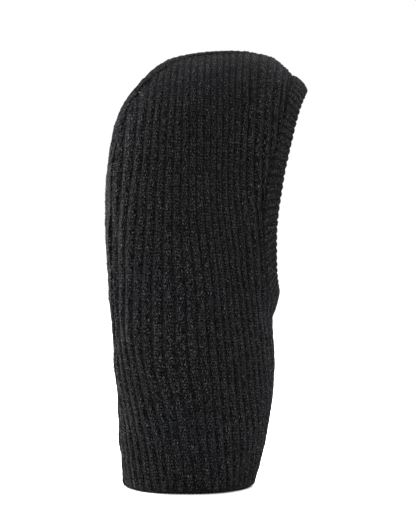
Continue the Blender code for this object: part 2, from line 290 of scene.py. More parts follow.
# Dark and light tone and sheen of the seams' yarn, the hem's yarn and the thread; the hem's yarn is kept
# darker than the seams' as painted shade where the hem meets the floor
SEAM_YARN = ((0.0025, 0.0025, 0.0026), (0.016, 0.016, 0.0165), 0.03)
SHADED_EDGE_YARN = ((0.0012, 0.0012, 0.0012), (0.010, 0.010, 0.010), 0.01)
THREAD = ((0.10, 0.10, 0.11), (0.24, 0.24, 0.25), 0.1)

KNIT_FINISH = {
    "Roughness": 0.95,
    "Specular IOR Level": 0.03,
    "Sheen Weight": 0.035,
    "Sheen Roughness": 0.45,
    "Sheen Tint": (0.55, 0.56, 0.58, 1.0),
}
YARN_FINISH = {"Roughness": 0.9, "Specular IOR Level": 0.06, "Sheen Roughness": 0.5}
SATIN_FINISH = {"Roughness": 0.42, "Sheen Weight": 0.1}
# Bumps: strength and distance
KNIT_BUMP = (0.9, 0.0010)
YARN_BUMP = (0.8, 0.0004)
SATIN_BUMP = (0.5, 0.0001)

# Noises as (scale, detail, roughness): loose fibres, the wobble of the wales and of the courses, the
# fibres in a leg, light and dark patches, and changes of hue
FLUFF = (700.0, 3.0, 0.7)
SWAY = (230.0, 2.0, 0.5)
LEAN = (125.0, 2.0, 0.5)
FIBRE = (1.0, 3.0, 0.65)
PATCH = (38.0, 3.0, 0.55)
CAST = (7.0, 2.0, 0.5)
# The same for the yarn, the label's warp and its soiling
YARN_FIBRE = (1100.0, 3.0, 0.7)
WARP = (1.0, 2.0, 0.5)
SOIL = (5.0, 3.0, 0.6)

# The stitch pattern: wales in a rib, where they start, how far they wobble, the slant of a V's legs
WALES_PER_RIB = 4.0
WALE_START = -0.45
WALE_SWAY = 0.9
COURSE_LEAN = 2.2
LEG_SLANT = 1.3
# How soon a strand is full away from its edge, and how often fibres and tufts repeat across and along
STRAND_FULL = 2.6
FIBRE_STRETCH = (2.0, 7.0)
TUFT_STRETCH = (0.9, 2.25)
# How loose fibres and stitches break up the painted shade in the rib grooves, and what strands and fibres
# add to the bump
GROOVE_FLUFF = 0.3
GROOVE_TURN = -0.12
STRAND_LIFT = 0.8
FIBRE_LIFT = 0.4
WARP_STRETCH = (30.0, 320.0, 1.0)
WEAVE_SCALE = 60.0

# ------------------------ the studio, seen from the wearer's right
FLOOR_HALF = 9
FLOOR_Z = -0.0003
FLOOR_TONE = (0.93, 0.93, 0.93, 1)
FLOOR_ROUGHNESS = 0.9
WORLD_STRENGTH = 1.0
# Name, place, point aimed at, width and height, power
SOFTBOXES = (
    ("top_softbox", (-0.3, 0.1, 1.9), (0, 0, 0.25), (1.2, 1.2), 22),
    ("back_strip", (0.9, 1.0, 1.5), (0, 0, 0.30), (0.5, 1.0), 50),
    ("front_strip", (0.9, -1.0, 1.5), (0, 0, 0.30), (0.5, 1.0), 36),
    ("low_back", (0.40, 0.42, 0.14), (0, 0.05, 0.12), (0.14, 0.14), 8.5),
    ("low_front", (0.50, -0.62, 0.12), (0, -0.05, 0.10), (0.3, 0.3), 3.0),
)
SKY_POWER = 1.2
SKY_ANGLE = math.radians(110)
AZIMUTH = math.radians(260)
ELEVATION = math.radians(1.95)
DISTANCE = 1.867
# The camera aims this far to its right of the Z axis, at this height
AIM_SHIFT = 0.00083
AIM_Z = 0.2206
SENSOR = 36
LENS = 131.8


def eased(t):
    """0 below 0, 1 above 1 and a smooth rise between."""
    t = np.clip(t, 0, 1)
    return t * t * (3 - 2 * t)


def smooth_through(xs, ys, x):
    """A curve through the points (xs, ys), with the slope at each point taken from its neighbours."""
    slopes = np.gradient(ys, xs, axis=0)
    i = np.clip(np.searchsorted(xs, x) - 1, 0, len(xs) - 2)
    step = xs[i + 1] - xs[i]
    t = (x - xs[i]) / step
    if ys.ndim > 1:
        t = t.reshape(t.shape + (1,) * (ys.ndim - 1))
        step = step.reshape(t.shape)
    return (
        (2 * t**3 - 3 * t**2 + 1) * ys[i]
        + (t**3 - 2 * t**2 + t) * step * slopes[i]
        + (3 * t**2 - 2 * t**3) * ys[i + 1]
        + (t**3 - t**2) * step * slopes[i + 1]
    )


def section(z):
    """Centre depth, half depth and half width of the hood surface at each height."""
    table = np.array(SECTIONS)
    low = np.clip(z, 0, TEMPLE_Z)
    back, front, width = (smooth_through(table[:, 0], table[:, c], low) for c in (1, 2, 3))
    up = np.clip((z - TEMPLE_Z) / (CROWN_Z - TEMPLE_Z), 0, 1)
    shrink = (1 - up**DOME_POWER) ** (1 / DOME_POWER)
    rise = up * (CROWN_Z - TEMPLE_Z)
    centre = (back + front) / 2 + TEMPLE_LEAN * rise - CROWN_FORWARD * up**2 + FRAME_SHIFT
    return centre, (back - front) / 2 * shrink, width * shrink


def guide_height(z):
    """The guide point's height for a height on the hood."""
    scale = np.where(z > TEMPLE_Z, CROWN_Z - TEMPLE_Z, TUBE_UNIT)
    return (z - TEMPLE_Z) / scale


def onto_capsule(guides):
    """Moves guide points back onto the capsule: a round tube below 0, a round top above."""
    up = np.clip(guides[..., 2:], 0, None)
    flat = np.concatenate([guides[..., :2], up], axis=-1)
    length = np.linalg.norm(flat, axis=-1, keepdims=True)
    out = flat / length
    return np.where(guides[..., 2:] > 0, out, np.concatenate([out[..., :2], guides[..., 2:]], axis=-1))


def hood_points(guides):
    """The points of the hood surface for guide points on the capsule."""
    height = guides[..., 2]
    z = TEMPLE_Z + height * np.where(height > 0, CROWN_Z - TEMPLE_Z, TUBE_UNIT)
    centre, half_depth, half_width = section(z)
    ring = np.maximum(np.hypot(guides[..., 0], guides[..., 1]), 1e-9)
    x = half_width * guides[..., 0] / ring
    y = centre + half_depth * guides[..., 1] / ring
    return np.stack([x, y, z], axis=-1)


def unit(vectors):
    """Vectors of length 1 in the same directions."""
    return vectors / np.maximum(np.linalg.norm(vectors, axis=-1, keepdims=True), 1e-12)


def hood_normals(guides, step=1e-4):
    """Outward unit normals of the hood surface at guide points, from small steps on the capsule."""
    radial = np.concatenate([guides[..., :2], np.clip(guides[..., 2:], 0, None)], axis=-1)
    along = np.stack([-radial[..., 1], radial[..., 0], np.zeros(radial.shape[:-1])], axis=-1)
    along /= np.maximum(np.linalg.norm(along, axis=-1, keepdims=True), 1e-9)
    upward = np.cross(radial, along)
    sides = []
    for way in (along, upward):
        ahead = hood_points(onto_capsule(guides + step * way))
        behind = hood_points(onto_capsule(guides - step * way))
        sides.append(ahead - behind)
    return unit(np.cross(sides[0], sides[1]))


def seam_guides(turn, side):
    """The back and crown seam from the hem (turn 0), through the crown's back corner (turn 1), to the
    forehead (turn 2). It drifts towards the wearer's right between the hem and the forehead. side is -1 or
    1 for a panel's edge, half a gap off the line, or 0 for the line."""
    corner = math.asin(CORNER_LIFT)
    brow = math.pi - math.asin(guide_height(FACE_HIGH))
    tube = -guide_height(0.0)
    climb = np.clip(turn, 0, 1) * (tube + corner)
    angle = np.clip(climb - tube, 0, None) + np.clip(turn - 1, 0, 1) * (brow - corner)
    height = np.where(climb < tube, climb - tube, np.sin(angle))
    z = TEMPLE_Z + height * np.where(height > 0, CROWN_Z - TEMPLE_Z, TUBE_UNIT)
    drift = SEAM_DRIFT * eased(z / DRIFT_FULL_Z) * eased((brow - angle) / DRIFT_FADE)
    across = side * SEAM_GAP / (2 * DOME_HALF_WIDTH) - drift
    depth = np.where(climb < tube, 1.0, np.cos(angle))
    scale = np.sqrt(np.clip(1 - across**2, 0, 1))
    guides = np.stack([across, depth * scale, np.where(height > 0, height * scale, height)], axis=-1)
    return onto_capsule(guides)


def oval_guides(turn, low, high, half_width, edge_in=0.0):
    """An oval round the face. turn runs from 0 at the wearer's left, a quarter turn to the top."""
    sine, cosine = np.sin(turn), np.cos(turn)
    power = 2 / FACE_POWER
    middle, half_height = (low + high) / 2, (high - low) / 2 - edge_in
    z = middle + half_height * np.sign(sine) * np.abs(sine) ** power
    height = guide_height(z)
    across = (half_width - edge_in / DOME_HALF_WIDTH) * np.sign(cosine) * np.abs(cosine) ** power
    depth = -np.sqrt(np.clip(1 - across**2 - np.clip(height, 0, None) ** 2, 0, 1))
    return onto_capsule(np.stack([across, depth, height], axis=-1))


def front_guides(share, side):
    """A panel's front edge: the neck seam from the hem to the chin, then the face opening's edge."""
    neck = guide_height(0.0) + np.clip(share / NECK_SHARE, 0, 1) * (
        guide_height(FACE_LOW) - guide_height(0.0)
    )
    half_gap = side * SEAM_GAP / (2 * DOME_HALF_WIDTH)
    neck_line = np.stack([np.full(share.shape, half_gap), np.full(share.shape, -1.0), neck], axis=-1)
    turn = -math.pi / 2 + np.clip((share - NECK_SHARE) / (1 - NECK_SHARE), 0, 1) * math.pi
    face_line = oval_guides(turn, FACE_LOW, FACE_HIGH, FACE_HALF_WIDTH)
    face_line[..., 0] = side * np.maximum(np.abs(face_line[..., 0]), abs(half_gap))
    return onto_capsule(np.where((share < NECK_SHARE)[..., None], neck_line, face_line))


def hem_guides(turn):
    """Points round the hem. turn runs from 0 at the back past the wearer's left."""
    return np.stack([np.sin(turn), np.cos(turn), np.full(turn.shape, guide_height(0.0))], axis=-1)


def panel_edges(rows, columns, side):
    """The four edges of a panel in guide points: hem, crown, back and front."""
    hem = hem_guides(side * columns * math.pi)
    return hem, seam_guides(1 + columns, side), seam_guides(rows, side), front_guides(rows, side)


def with_edges(grid, edges):
    """A grid whose edges have been put back on the panel's edges."""
    hem, crown, back, front = edges
    grid[0], grid[-1], grid[:, 0], grid[:, -1] = hem, crown, back, front
    grid[0, 0], grid[0, -1] = back[0], front[0]
    return grid


def relaxed(grid, passes):
    """Evens out the spacing inside a grid of guide points, with its edges held."""
    for _ in range(passes):
        inner = (grid[2:, 1:-1] + grid[:-2, 1:-1] + grid[1:-1, 2:] + grid[1:-1, :-2]) / 4
        grid[1:-1, 1:-1] = inner
        grid = onto_capsule(grid)
    return grid


def panel_guides(side):
    """Guide points over one side panel, rows from hem to crown, columns from back to front: evened out
    on the CAD's own grid first, then on the fine one."""
    rows, columns = np.linspace(0, 1, ROWS + 1), np.linspace(0, 1, COLUMNS + 1)
    hem, crown, back, front = panel_edges(rows, columns, side)
    u, v = columns[None, :, None], rows[:, None, None]
    grid = (1 - v) * hem[None] + v * crown[None] + (1 - u) * back[:, None] + u * front[:, None]
    grid -= (1 - u) * (1 - v) * hem[0] + u * (1 - v) * hem[-1] + (1 - u) * v * crown[0] + u * v * crown[-1]
    grid = relaxed(onto_capsule(with_edges(grid, (hem, crown, back, front))), RELAX_PASSES)
    fine_rows, fine_columns = np.linspace(0, 1, FINE_ROWS + 1), np.linspace(0, 1, FINE_COLUMNS + 1)
    fine = smooth_through(rows, grid, fine_rows).swapaxes(0, 1)
    fine = smooth_through(columns, fine, fine_columns).swapaxes(0, 1)
    fine = with_edges(fine, panel_edges(fine_rows, fine_columns, side))
    return relaxed(onto_capsule(fine), FINE_PASSES)


# ------------------------ ribs
def waves(u, v, settings, side=0):
    """Smooth unevenness between about -1 and 1 over a panel, the same on each run."""
    across, along, seed = settings
    x, y = u * across, v * along
    draw = np.random.default_rng(seed + side)
    total = np.zeros(np.broadcast(x, y).shape)
    for _ in range(WAVE_COUNT):
        a, b, phase = draw.uniform(*WAVE_RANGE), draw.uniform(*WAVE_RANGE), draw.uniform(*WAVE_PHASES)
        total += np.sin(a * x * draw.choice([-1, 1]) + b * y + phase)
    return total / math.sqrt(WAVE_COUNT)


def rib_numbers(shape):
    """The rib coordinate over a panel's grid: whole numbers are the tops of the ribs. It runs smoothly
    through the tracks of three ribs and the numbers that the panel's back and front edges cut."""
    rows, columns = shape
    table = np.array(RIB_TRACKS)
    v, u = np.linspace(0, 1, rows), np.linspace(0, 1, columns)
    back, behind, middle, ahead, front = smooth_through(table[:, 0], table[:, 1:], v).T
    out = np.empty(shape)
    for j in range(rows):
        where = np.array([0, behind[j], middle[j], ahead[j], 1])
        label = np.array([back[j], -TRACK_BEHIND, 0, TRACK_AHEAD, front[j]])
        out[j] = smooth_through(where, label, u)
    return out + RIB_SWAY * waves(u[None], v[:, None], TRACK_WAVES)


def rib_profile(number):
    """Rib relief from 0 in the groove to 1 on the top, with a faint furrow between the two wales."""
    round_top = np.sqrt(np.cos(math.pi * number) ** 2 + RIB_SOFTNESS) ** RIB_FULLNESS / RIB_PEAK
    depth, width = FURROW
    near = np.abs(number - np.round(number))
    return round_top - depth * np.exp(-((near / width) ** 2))


def run_length(line):
    """The distance along a line at each of its points."""
    return np.concatenate([[0], np.cumsum(np.linalg.norm(np.diff(line, axis=0), axis=-1))])


def edge_distances(points):
    """For each grid point, how far it is along the surface from the hem, crown, back and front edges."""
    down = np.linalg.norm(np.diff(points, axis=0), axis=-1)
    across = np.linalg.norm(np.diff(points, axis=1), axis=-1)
    from_hem = np.concatenate([np.zeros((1, points.shape[1])), np.cumsum(down, axis=0)])
    from_back = np.concatenate([np.zeros((points.shape[0], 1)), np.cumsum(across, axis=1)], axis=1)
    return from_hem, from_hem[-1:] - from_hem, from_back, from_back[:, -1:] - from_back


def flat_cut(points):
    """The flat size of a knitted piece from a grid of points over it: width, length and area."""
    down, across = np.diff(points, axis=0), np.diff(points, axis=1)
    length = np.linalg.norm(down, axis=-1).sum(0).max()
    width = np.linalg.norm(across, axis=-1).sum(1).max()
    area = np.linalg.norm(np.cross(down[:, :-1], across[:-1]), axis=-1).sum()
    return float(width), float(length), float(area)


def rolled(distance, reach, depth):
    """How far an edge rolls under at a distance from it."""
    t = 1 - np.clip(distance / reach, 0, 1)
    return depth * (1 - np.sqrt(np.clip(1 - t * t, 0, 1)))


def panel_layers(side):
    """The outer and inner faces of a panel, what its material reads (rib number and course) and its
    flat size."""
    guides = panel_guides(side)
    base = hood_points(guides)
    normal = hood_normals(guides)
    number = rib_numbers(base.shape[:2])
    hem, crown, back, front = edge_distances(base)
    seam = np.minimum(back, crown)
    u, v = np.linspace(0, 1, base.shape[1])[None], np.linspace(0, 1, base.shape[0])[:, None]
    rough = np.random.default_rng(ROUGH_SEED + side).normal(0, 1, base.shape[:2])
    rough = (rough + np.roll(rough, 1, 0) + np.roll(rough, 1, 1) + np.roll(rough, -1, 0)) / 2

    height = RIB_HEIGHT * (1 + RIB_UNEVEN * waves(u, v, HEIGHT_WAVES, side))
    height = height * (HEM_RIB + (1 - HEM_RIB) * np.clip(hem / HEM_TAPER, 0, 1))
    height = height * (CROWN_RIB + (1 - CROWN_RIB) * eased(crown / CROWN_FLAT))
    sink = RIB_SINK * np.clip(height / RIB_HEIGHT, 0, 1)
    relief = height * rib_profile(number) - sink + ROUGHNESS * rough
    relief += BODY_SWELL * waves(u, v, BODY_WAVES, side)
    relief += WELT_HEIGHT * np.exp(-(((seam - WELT_AT) / WELT_WIDTH) ** 2))
    relief -= rolled(seam, *SEAM_ROLL)
    relief -= np.where(v < NECK_SHARE, rolled(front, *SEAM_ROLL), rolled(front, *FACE_ROLL))
    relief -= rolled(hem, *HEM_ROLL)
    outer = base + normal * relief[..., None]

    under = INNER_LIFT - KNIT - INNER_RIB * rib_profile(number + 0.5) + INNER_ROUGHNESS * rough
    under += rolled(np.minimum(np.minimum(seam, front), hem), *INNER_ROLL)
    inner = base + normal * under[..., None]
    for face in (outer, inner):
        face[..., 2] = np.maximum(face[..., 2], HEM_LIFT)
        face[0, :, 2] = HEM_LIFT
    return outer, inner, number, hem / COURSE, flat_cut(base)


# ------------------------ meshes
def grid_faces(rows, columns, start=0, flip=False):
    """Faces of a grid of points that are numbered row by row from start."""
    j, i = np.meshgrid(np.arange(rows - 1), np.arange(columns - 1), indexing="ij")
    here, above = j * columns + i, (j + 1) * columns + i
    faces = np.stack([here, here + 1, above + 1, above], axis=-1).reshape(-1, 4) + start
    return faces[:, ::-1] if flip else faces


def wrapped(grid):
    """A grid with its first column and its first row repeated at the far side."""
    grid = np.concatenate([grid, grid[:, :1]], axis=1)
    return np.concatenate([grid, grid[:1]], axis=0)


def border(rows, columns):
    """Indices round a grid's edge, in order."""
    index = np.arange(rows * columns).reshape(rows, columns)
    return np.concatenate([index[0, :-1], index[:-1, -1], index[-1, :0:-1], index[:0:-1, 0]])


def add_object(name, data):
    """A new object in the scene."""
    made = bpy.data.objects.new(name, data)
    bpy.context.scene.collection.objects.link(made)
    return made


def build(name, points, faces, uv=None, extra=None):
    """A smooth mesh object. faces is a list of index arrays, uv has a place for each corner of each face,
    and extra holds named values, one for each point."""
    mesh = bpy.data.meshes.new(name)
    rows = [row for block in faces for row in np.asarray(block).tolist()]
    mesh.from_pydata(np.asarray(points).reshape(-1, 3).tolist(), [], rows)
    if uv is not None:
        layer = mesh.uv_layers.new(name="OFBake")
        layer.data.foreach_set("uv", np.concatenate([np.asarray(b).reshape(-1, 2) for b in uv]).ravel())
    for key, values in (extra or {}).items():
        attribute = mesh.attributes.new(key, "FLOAT", "POINT")
        attribute.data.foreach_set("value", np.asarray(values, np.float32).ravel())
    mesh.update()
    mesh.shade_smooth()
    return add_object(name, mesh)


def uv_grid(rows, columns, low, high):
    """Texture coordinates of a grid in a box of the texture."""
    u = low[0] + (high[0] - low[0]) * np.linspace(0, 1, columns)[None, :]
    v = low[1] + (high[1] - low[1]) * np.linspace(0, 1, rows)[:, None]
    return np.stack(np.broadcast_arrays(u, v), axis=-1).reshape(-1, 2)


def shell(name, outer, inner, number, course, flip):
    """A closed shell: the outer face, every second line of the inner face, and a rim that joins them."""
    rows, columns = outer.shape[:2]
    coarse = inner[::2, ::2]
    inner_rows, inner_columns = coarse.shape[:2]
    start = rows * columns
    outside = grid_faces(rows, columns, flip=flip)
    inside = grid_faces(inner_rows, inner_columns, start, flip=not flip)
    ring, inner_ring = border(rows, columns), border(inner_rows, inner_columns) + start
    a, b, c = ring[::2], ring[1::2], np.roll(ring, -2)[::2]
    d, e = inner_ring, np.roll(inner_ring, -1)
    rim = np.concatenate([np.stack(t, axis=-1) for t in ((b, a, d), (b, d, e), (c, b, e))])
    if flip:
        rim = rim[:, ::-1]

    outer_uv = uv_grid(rows, columns, *OUTER_UV)
    inner_uv = uv_grid(inner_rows, inner_columns, *INNER_UV)
    both = np.concatenate([outer_uv, inner_uv])
    place = np.zeros(both.shape)
    place[ring, 0], place[inner_ring, 0] = RIM_SIDES
    place[ring, 1] = np.linspace(*RIM_RANGE, len(ring))
    place[inner_ring, 1] = place[ring[::2], 1]
    rim_uv = place[rim]
    # The faces that close the ring would stretch back over the whole strip
    last = rim_uv[..., 1].max(1) - rim_uv[..., 1].min(1) > 0.5
    rim_uv[last, :, 1] = RIM_CLOSE
    extra = {
        "rib": np.concatenate([number.ravel(), number[::2, ::2].ravel() + 0.5]),
        "course": np.concatenate([course.ravel(), course[::2, ::2].ravel()]),
    }
    points = np.concatenate([outer.reshape(-1, 3), coarse.reshape(-1, 3)])
    return build(name, points, [outside, inside, rim], [both[outside], both[inside], rim_uv], extra)


# ------------------------ face band
def band_flare(turn):
    """How far the band stands proud beyond its usual height, at the brow and at the chin."""
    brow = np.clip(np.sin(turn), 0, 1) ** BROW_SPREAD * BROW_FLARE
    chin = np.clip(-np.sin(turn), 0, 1) ** CHIN_SPREAD * CHIN_FLARE
    return brow + chin


def band_surface(turn, share):
    """A point of the face band's outer face: share 0 at the linking line, 1 at the free edge."""
    outer = oval_guides(turn, FACE_LOW, FACE_HIGH, FACE_HALF_WIDTH, FACE_GAP)
    inner = oval_guides(turn, BAND_FREE_LOW, BAND_FREE_HIGH, BAND_FREE_HALF_WIDTH)
    guides = onto_capsule(outer + (inner - outer) * share)
    normal = hood_normals(guides)
    swell = share + BROW_SWELL * share * (1 - share)
    return hood_points(guides) + normal * (BAND_PROUD + band_flare(turn)[..., None] * swell), normal


def even_turns(count):
    """Turns round the oval that are evenly spaced along the middle of the band, from the chin."""
    turn = -math.pi / 2 + np.linspace(0, 2 * math.pi, EVEN_SAMPLES)
    along = run_length(band_surface(turn, 0.5)[0])
    return np.interp(np.linspace(0, along[-1], count, endpoint=False), along, turn)


def band_section():
    """The band's cross-section as (share across, depth): out over the outer face, round the free edge,
    back along the inner face and round the linked edge."""
    half = BAND_THICKNESS / 2
    turn = np.linspace(0, math.pi, BAND_ROUND)[1:-1]
    across = np.linspace(BAND_ROOT, BAND_EDGE, BAND_FINE)
    back = across[::-2]
    outer = np.stack([across, np.zeros(across.shape)], axis=-1)
    free = np.stack([BAND_EDGE + (1 - BAND_EDGE) * np.sin(turn), -half + half * np.cos(turn)], axis=-1)
    inner = np.stack([back, np.full(back.shape, -BAND_THICKNESS)], axis=-1)
    linked = np.stack([BAND_ROOT - BAND_ROOT * np.sin(turn), -half - half * np.cos(turn)], axis=-1)
    return np.concatenate([outer, free, inner, linked])


def add_band():
    """The ribbed strip round the face, one closed ring with its ribs across it."""
    count = BAND_RIBS * BAND_SAMPLES
    turn = even_turns(count)
    number = np.arange(count) / BAND_SAMPLES
    outward, inward = rib_profile(number), rib_profile(number + 0.5)
    edge_way = unit(band_surface(turn, 1.0)[0] - band_surface(turn, BAND_SCALLOP_FROM)[0])
    section_points = band_section()
    points = np.empty((count, len(section_points), 3))
    for k, (share, depth) in enumerate(section_points):
        face, normal = band_surface(turn, share)
        # 1 on the outer face, -1 on the inner one
        outside = 1 + 2 * depth / BAND_THICKNESS
        lump = (BAND_RIB_HEIGHT * outward - BAND_SINK) * max(outside, 0)
        lump -= (BAND_INNER_RIB * inward - BAND_INNER_LIFT) * max(-outside, 0)
        near = np.clip((share - BAND_SCALLOP_FROM) / (1 - BAND_SCALLOP_FROM), 0, 1)
        scallop = BAND_SCALLOP * (outward - BAND_SCALLOP_BASE) * near
        points[:, k] = face + normal * (depth + lump)[:, None] + edge_way * scallop[:, None]
    rough = np.random.default_rng(BAND_SEED).normal(0, BAND_ROUGHNESS, points.shape)
    points += (rough + np.roll(rough, 1, 0) + np.roll(rough, 1, 1)) / BAND_SMOOTHING

    index = wrapped(np.arange(count * len(section_points)).reshape(count, -1))
    grid = grid_faces(*index.shape)
    uv = uv_grid(*index.shape, *BAND_UV)[:, ::-1][grid]
    extra = {
        "rib": np.repeat(number, len(section_points)),
        "course": np.tile(run_length(points[0]) / COURSE, count),
    }
    return build("face_band_knit", points, [index.ravel()[grid]], [uv], extra)


# ------------------------ yarn
def tangents(line, closed):
    """Unit directions along a line of points."""
    return unit(np.roll(line, -1, 0) - np.roll(line, 1, 0) if closed else np.gradient(line, axis=0))


def tube(line, radius, closed):
    """The points and faces of a round tube along a line. An open line gets closed ends."""
    along = tangents(line, closed)
    helper = np.where(np.abs(along[:, 2:]) > STEEP, (1.0, 0.0, 0.0), (0.0, 0.0, 1.0))
    one = unit(np.cross(along, helper))
    for k in range(1, len(one)):
        one[k] = unit(one[k - 1] - along[k] * (one[k - 1] @ along[k]))
    two = np.cross(along, one)
    angle = np.linspace(0, 2 * math.pi, YARN_SIDES, endpoint=False)[:, None]
    points = line[:, None] + (one[:, None] * np.cos(angle) + two[:, None] * np.sin(angle)) * radius
    index = wrapped(np.arange(len(line) * YARN_SIDES).reshape(len(line), -1))
    index = index if closed else index[:-1]
    faces = [index.ravel()[grid_faces(*index.shape)]]
    if not closed:
        faces += [index[:1, :-1][:, ::-1], index[-1:, :-1]]
    return points.reshape(-1, 3), faces


def gather(name, parts):
    """One mesh object from several (points, faces) parts."""
    points, faces, start = [], [], 0
    for some, blocks in parts:
        points.append(some)
        faces += [np.asarray(b) + start for b in blocks]
        start += len(some)
    return build(name, np.concatenate(points), faces)


def read_along(at, along, values):
    """Vectors given at distances along a line, read at other distances."""
    return np.stack([np.interp(at, along, values[:, k]) for k in range(3)], axis=-1)


def evenly(line, step, closed):
    """The line again with points about step apart, the distance along it of each, and its length."""
    if closed:
        line = np.concatenate([line, line[:1]])
    along = run_length(line)
    count = max(FEWEST_POINTS, int(round(along[-1] / step)))
    at = np.linspace(0, along[-1], count + (not closed), endpoint=not closed)
    return read_along(at, along, line), at, along[-1]


def braid(name, line, outward, stitch, strands=3, closed=False):
    """Linked stitches along a line: strands of yarn that cross over each other."""
    width, height, radius, pitch = stitch
    spaced, at, length = evenly(line, pitch / STITCH_SAMPLES, closed)
    turns = max(1, round(length / pitch))
    if closed:
        outward = np.concatenate([outward, outward[:1]])
    up = read_along(at / length, np.linspace(0, 1, len(outward)), outward)
    along = tangents(spaced, closed)
    up = unit(up - (up * along).sum(-1, keepdims=True) * along)
    side = np.cross(along, up)
    parts = []
    for k in range(strands):
        phase = 2 * math.pi * (turns * at / length + k / strands)
        path = spaced + side * (width * np.sin(phase))[:, None] + up * (height * np.sin(2 * phase))[:, None]
        parts.append(tube(path, radius, closed))
    return gather(name, parts)


def inside_line(guides, depth):
    """A line at a depth inside the hood surface, and the outward normals along it."""
    normal = hood_normals(guides)
    return hood_points(guides) - normal * depth, normal


def neck_guides(low, high, count):
    """The line up the front of the neck between two heights."""
    z = np.linspace(low, high, count)
    return np.stack([np.zeros(count), np.full(count, -1.0), guide_height(z)], axis=-1)


# ------------------------ care label
def label_edge():
    """The lower and upper end of the label's sewn edge, beside the ridge of the back seam."""
    z = np.array([LABEL_LOW, LABEL_LOW + LABEL_HEIGHT])
    turn = z / (-guide_height(0.0) + math.asin(CORNER_LIFT)) / TUBE_UNIT
    ridge = inside_line(seam_guides(turn, 0), KNIT + RIDGE_GAP + SEAM_RADIUS)[0]
    off = SEAM_RADIUS + GAP + LABEL_THICKNESS
    return ridge + np.array([off * math.cos(LABEL_SIDE), -off * math.sin(LABEL_SIDE), 0])


def label_row(foot):
    """One line across the label: from its foot on the sewn edge it settles onto the knit's inner face."""
    centre, half_depth, half_width = section(foot[2])
    first = math.atan2(foot[0] / half_width, (foot[1] - centre) / half_depth)
    reach = np.linspace(0, 1, LABEL_STEPS)
    angle = first + reach * LABEL_REACH / (half_width - KNIT)
    lift = KNIT + LABEL_CLEARANCE
    x = (half_width - lift) * np.sin(angle)
    y = centre + (half_depth - lift) * np.cos(angle)
    wall = np.column_stack([x, y, np.full(LABEL_STEPS, foot[2])])
    return wall + (foot - wall[0]) * np.exp(-LABEL_SETTLE * reach)[:, None]


def add_label():
    """The blank woven label: a thin strip with a folded end, selvedges along its sides and a soft wave."""
    rows, steps = LABEL_ROWS, LABEL_STEPS
    low, high = label_edge()
    grid = np.array([label_row(low + (high - low) * t) for t in np.linspace(0, 1, rows)])
    normal = unit(np.cross(np.gradient(grid, axis=1), np.gradient(grid, axis=0)))
    t, r = np.linspace(0, 1, rows)[:, None], np.linspace(0, 1, steps)[None]
    lift, halves, offset, bend = LABEL_WAVE
    wave = lift * np.sin(halves * math.pi * r + offset) * r * np.cos(bend * t)
    from_side = np.minimum(t, 1 - t)
    half = LABEL_THICKNESS / 2 * (1 + SELVEDGE_EXTRA * (from_side < SELVEDGE))
    half = half * np.where(r > FOLD_FROM, FOLD_FULLNESS, 1.0)
    half = half * np.where(from_side * LABEL_HEIGHT < LABEL_RIM, 0.5, 1.0)
    top = grid + normal * (wave + half)[..., None]
    bottom = grid + normal * (wave - half)[..., None]

    start = rows * steps
    ring = border(rows, steps)
    after = np.roll(ring, -1)
    rim = np.stack([ring, after, after + start, ring + start], axis=-1)[:, ::-1]
    faces = [grid_faces(rows, steps), grid_faces(rows, steps, start, flip=True), rim]
    both = np.concatenate([uv_grid(rows, steps, *box) for box in LABEL_UV])
    place = np.zeros(both.shape)
    place[ring, 0] = place[ring + start, 0] = np.linspace(*LABEL_RIM_RANGE, len(ring))
    place[ring, 1], place[ring + start, 1] = LABEL_RIM_SIDES
    rim_uv = place[rim]
    rim_uv[-1, :, 0] = LABEL_RIM_CLOSE
    points = np.concatenate([top.reshape(-1, 3), bottom.reshape(-1, 3)])
    return build("care_label_strip", points, faces, [both[faces[0]], both[faces[1]], rim_uv])


# ------------------------ materials
def nodes_of(name):
    """A new material, its node tree and its shader."""
    made = bpy.data.materials.new(name)
    made.use_nodes = True
    tree = made.node_tree
    return made, tree, tree.nodes["Principled BSDF"]


def link(tree, one, two):
    """Joins an output to an input."""
    tree.links.new(one, two)


def node(tree, kind, **settings):
    """A new node with some of its properties set."""
    made = tree.nodes.new(kind)
    for key, value in settings.items():
        setattr(made, key, value)
    return made


def math_node(tree, operation, *values):
    """The result of an operation on one to three values, each a number or an output."""
    made = node(tree, "ShaderNodeMath", operation=operation)
    for socket, value in zip(made.inputs, values):
        if isinstance(value, (int, float)):
            socket.default_value = value
        else:
            link(tree, value, socket)
    return made.outputs[0]


def noise(tree, vector, settings):
    """Smooth noise with a scale, detail and roughness."""
    made = node(tree, "ShaderNodeTexNoise")
    link(tree, vector, made.inputs["Vector"])
    for key, value in zip(("Scale", "Detail", "Roughness"), settings):
        made.inputs[key].default_value = value
    return made.outputs["Fac"]


def ramp(tree, factor, stops):
    """A colour read from stops of (position, colour)."""
    made = node(tree, "ShaderNodeValToRGB")
    link(tree, factor, made.inputs[0])
    while len(made.color_ramp.elements) < len(stops):
        made.color_ramp.elements.new(0.5)
    for element, (position, colour) in zip(made.color_ramp.elements, stops):
        element.position = position
        element.color = (*colour, 1.0)
    return made.outputs[0]


def toned(tree, colour, factor, stops):
    """A colour times the tone that the stops give for a factor."""
    made = node(tree, "ShaderNodeMix", data_type="RGBA", blend_type="MULTIPLY")
    made.inputs[0].default_value = 1.0
    link(tree, colour, made.inputs[6])
    link(tree, ramp(tree, factor, stops), made.inputs[7])
    return made.outputs[2]


def joined(tree, x, y):
    """A vector from two outputs."""
    made = node(tree, "ShaderNodeCombineXYZ")
    link(tree, x, made.inputs[0])
    link(tree, y, made.inputs[1])
    return made.outputs[0]


